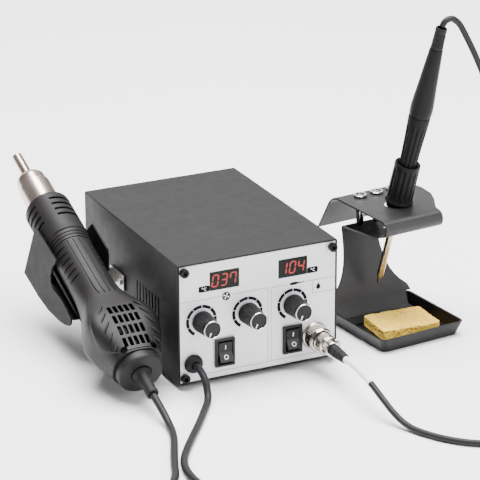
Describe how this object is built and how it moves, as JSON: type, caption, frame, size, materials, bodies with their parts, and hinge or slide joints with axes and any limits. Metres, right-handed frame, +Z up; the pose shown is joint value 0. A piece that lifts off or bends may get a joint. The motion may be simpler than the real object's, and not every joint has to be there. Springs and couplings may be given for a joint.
{
  "type": "soldering station",
  "caption": "Bench soldering station: control case with a hot-air gun in a side cradle, and a corded iron in a bent-sheet stand with a sponge tray and spare tips.",
  "frame": {"origin": "on the floor under the middle of the station, its cords and their plug left out", "axes": "+X to the right across the front panel, +Y to the back, +Z up"},
  "size_m": [0.3735, 0.4636, 0.239],
  "materials": {
    "case_paint": "fine textured satin black powder coat",
    "front_finish": "light silver-grey satin paint with printed outlines",
    "cradle_paint": "satin black paint",
    "stand_paint": "satin black paint",
    "tray_plastic": "satin black moulded plastic",
    "funnel_plastic": "satin black ribbed plastic",
    "screw_steel": "black oxide",
    "foot_rubber": "matt",
    "plated_steel": "bright plating",
    "connector_chrome": "bright nickel plating",
    "tip_chrome": "bright plating",
    "display_glass": "dark green-black window with red digits",
    "knob_plastic": "ribbed black with a plated ring",
    "switch_plastic": "glossy black",
    "gland_rubber": "matt black",
    "gun_plastic": "finely textured dark grey",
    "fan_plastic": "matt black",
    "heater_steel": "drawn stainless steel, faintly heat-tinted",
    "heater_ceramic": "off-white ceramic",
    "grip_rubber": "smooth matt",
    "handle_plastic": "satin",
    "sleeve_brass": "heat-tinted gold steel",
    "tip_plating": "tinned iron plating",
    "sponge_foam": "open-cell cellulose sponge",
    "transformer_iron": "lacquered laminations",
    "board_laminate": "green solder mask",
    "cord_jacket": "smooth grey jacket"
  },
  "bodies": {
    "station": {"base_chassis": "case_paint", "cord_gland": "gland_rubber", "cradle": "cradle_paint", "cradle_bracket": "plated_steel", "display_air": "display_glass", "display_iron": "display_glass", "foot_1": "foot_rubber", "foot_2": "foot_rubber", "foot_3": "foot_rubber", "foot_4": "foot_rubber", "front_panel": "front_finish", "gun_cord_coil": "cord_jacket", "gun_cord_panel": "cord_jacket", "iron_cord_coil": "cord_jacket", "iron_cord_plug": "cord_jacket", "iron_plug": "connector_chrome", "iron_socket": "connector_chrome", "main_board": "board_laminate", "mains_inlet": "switch_plastic", "panel_screw_1": "screw_steel", "panel_screw_2": "screw_steel", "panel_screw_3": "screw_steel", "panel_screw_4": "screw_steel", "plug_boot": "gland_rubber", "pot_air_flow": "plated_steel", "pot_air_heat": "plated_steel", "pot_iron_heat": "plated_steel", "stand_bracket": "stand_paint", "stand_funnel": "funnel_plastic", "stand_tray": "tray_plastic", "switch_frame_air": "switch_plastic", "switch_frame_iron": "switch_plastic", "top_cover": "case_paint", "transformer": "transformer_iron"},
    "knob_air_flow": {"knob_air_flow": "knob_plastic"},
    "knob_air_heat": {"knob_air_heat": "knob_plastic"},
    "knob_iron_heat": {"knob_iron_heat": "knob_plastic"},
    "rocker_air": {"rocker_air": "switch_plastic"},
    "rocker_iron": {"rocker_iron": "switch_plastic"},
    "plug_ring": {"plug_ring": "connector_chrome"},
    "gun": {"gun_shell_upper": "gun_plastic", "gun_shell_lower": "gun_plastic", "gun_end_cap": "gun_plastic", "gun_boot": "gland_rubber", "barrel_guard": "gun_plastic", "heater_tube": "heater_steel", "heater_core": "heater_ceramic", "gun_cord_handle": "cord_jacket"},
    "gun_fan": {"gun_fan": "fan_plastic"},
    "gun_nozzle": {"gun_nozzle": "heater_steel"},
    "iron": {"iron_grip": "grip_rubber", "iron_handle": "handle_plastic", "iron_boot": "gland_rubber", "iron_sleeve": "sleeve_brass", "iron_tip": "tip_plating", "iron_cord_handle": "cord_jacket"},
    "spare_tip_1": {"spare_tip_1": "tip_chrome"},
    "spare_tip_2": {"spare_tip_2": "tip_chrome"},
    "spare_tip_3": {"spare_tip_3": "tip_chrome"},
    "sponge": {"sponge": "sponge_foam"}
  },
  "joints": [
    {"name": "air_flow_turn", "type": "hinge", "parent": "station", "child": "knob_air_flow", "pos_m": [-0.06771, -0.10965, 0.0493], "axis": [0, 1, 0], "range_deg": [0, 300]},
    {"name": "air_heat_turn", "type": "hinge", "parent": "station", "child": "knob_air_heat", "pos_m": [-0.03261, -0.10965, 0.0493], "axis": [0, 1, 0], "range_deg": [0, 300]},
    {"name": "iron_heat_turn", "type": "hinge", "parent": "station", "child": "knob_iron_heat", "pos_m": [0.00219, -0.10965, 0.0493], "axis": [0, 1, 0], "range_deg": [0, 300]},
    {"name": "air_switch", "type": "hinge", "parent": "station", "child": "rocker_air", "pos_m": [-0.05051, -0.09915, 0.023], "axis": [1, 0, 0], "range_deg": [0, 22]},
    {"name": "iron_switch", "type": "hinge", "parent": "station", "child": "rocker_iron", "pos_m": [0.00199, -0.09915, 0.023], "axis": [1, 0, 0], "range_deg": [0, 22]},
    {"name": "plug_ring_turn", "type": "hinge", "parent": "station", "child": "plug_ring", "pos_m": [0.01949, -0.10765, 0.0226], "axis": [0, 1, 0], "range_deg": [0, 360]},
    {"name": "gun_lift", "type": "slide", "parent": "station", "child": "gun", "axis": [0, 0, 1], "range_m": [0, 0.12]},
    {"name": "fan_spin", "type": "hinge", "parent": "gun", "child": "gun_fan", "pos_m": [-0.11611, -0.06945, 0.03447], "axis": [0, -0.3453, 0.9385], "continuous": true},
    {"name": "nozzle_slide", "type": "slide", "parent": "gun", "child": "gun_nozzle", "axis": [0, 0.9385, 0.3453], "range_m": [0, 0.03]},
    {"name": "iron_lift", "type": "slide", "parent": "station", "child": "iron", "axis": [0.1001, -0.2234, 0.9696], "range_m": [0, 0.125]},
    {"name": "spare_tip_1_lift", "type": "slide", "parent": "station", "child": "spare_tip_1", "axis": [0, 0, 1], "range_m": [0, 0.03]},
    {"name": "spare_tip_2_lift", "type": "slide", "parent": "station", "child": "spare_tip_2", "axis": [0, 0, 1], "range_m": [0, 0.03]},
    {"name": "spare_tip_3_lift", "type": "slide", "parent": "station", "child": "spare_tip_3", "axis": [0, 0, 1], "range_m": [0, 0.03]},
    {"name": "sponge_lift", "type": "slide", "parent": "station", "child": "sponge", "axis": [0, 0, 1], "range_m": [0, 0.03]}
  ]
}
